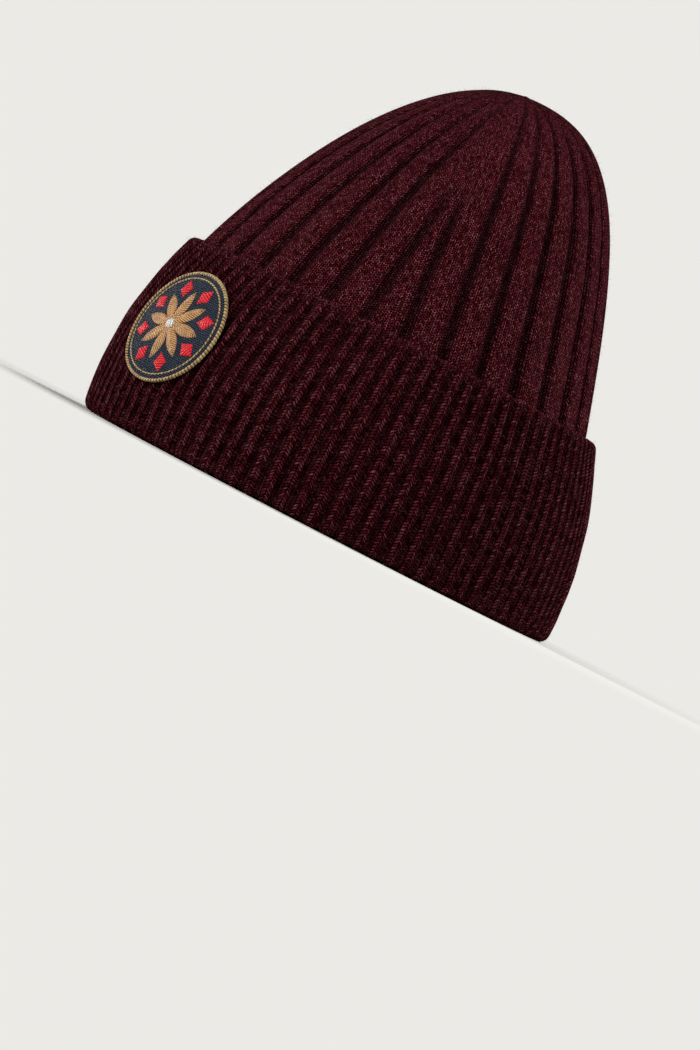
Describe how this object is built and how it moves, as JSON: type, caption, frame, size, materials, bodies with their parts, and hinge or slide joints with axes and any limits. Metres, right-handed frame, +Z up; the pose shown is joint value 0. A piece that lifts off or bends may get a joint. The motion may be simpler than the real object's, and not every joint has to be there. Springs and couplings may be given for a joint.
{
  "type": "knitted beanie",
  "caption": "Knitted beanie with a wide-ribbed crown, a turned-up fine-ribbed cuff and a round sewn patch, hollow, standing on its rim.",
  "frame": {"origin": "the middle of the floor under the hat, at the height of its rim", "axes": "+Z up to the top of the hat, -Y to the front where the patch is, +X to the wearer's left"},
  "size_m": [0.1868, 0.2148, 0.1835],
  "materials": {
    "crown_wool": "heathered burgundy wool, wide ribs, matt with a faint nap",
    "cuff_wool": "heathered burgundy wool, fine ribs, matt with a faint nap",
    "patch_cloth": "navy twill filled with stitching",
    "gold_thread": "gold embroidery thread, satin",
    "red_thread": "red embroidery thread, satin",
    "white_thread": "off-white embroidery thread, satin"
  },
  "bodies": {
    "root": {"crown": "crown_wool", "cuff": "cuff_wool", "patch_base": "patch_cloth", "patch_border": "gold_thread", "patch_star": "gold_thread", "patch_knot": "white_thread", "patch_diamond_01": "red_thread", "patch_diamond_02": "red_thread", "patch_diamond_03": "red_thread", "patch_diamond_04": "red_thread", "patch_diamond_05": "red_thread", "patch_diamond_06": "red_thread", "patch_diamond_07": "red_thread", "patch_diamond_08": "red_thread"}
  },
  "joints": []
}
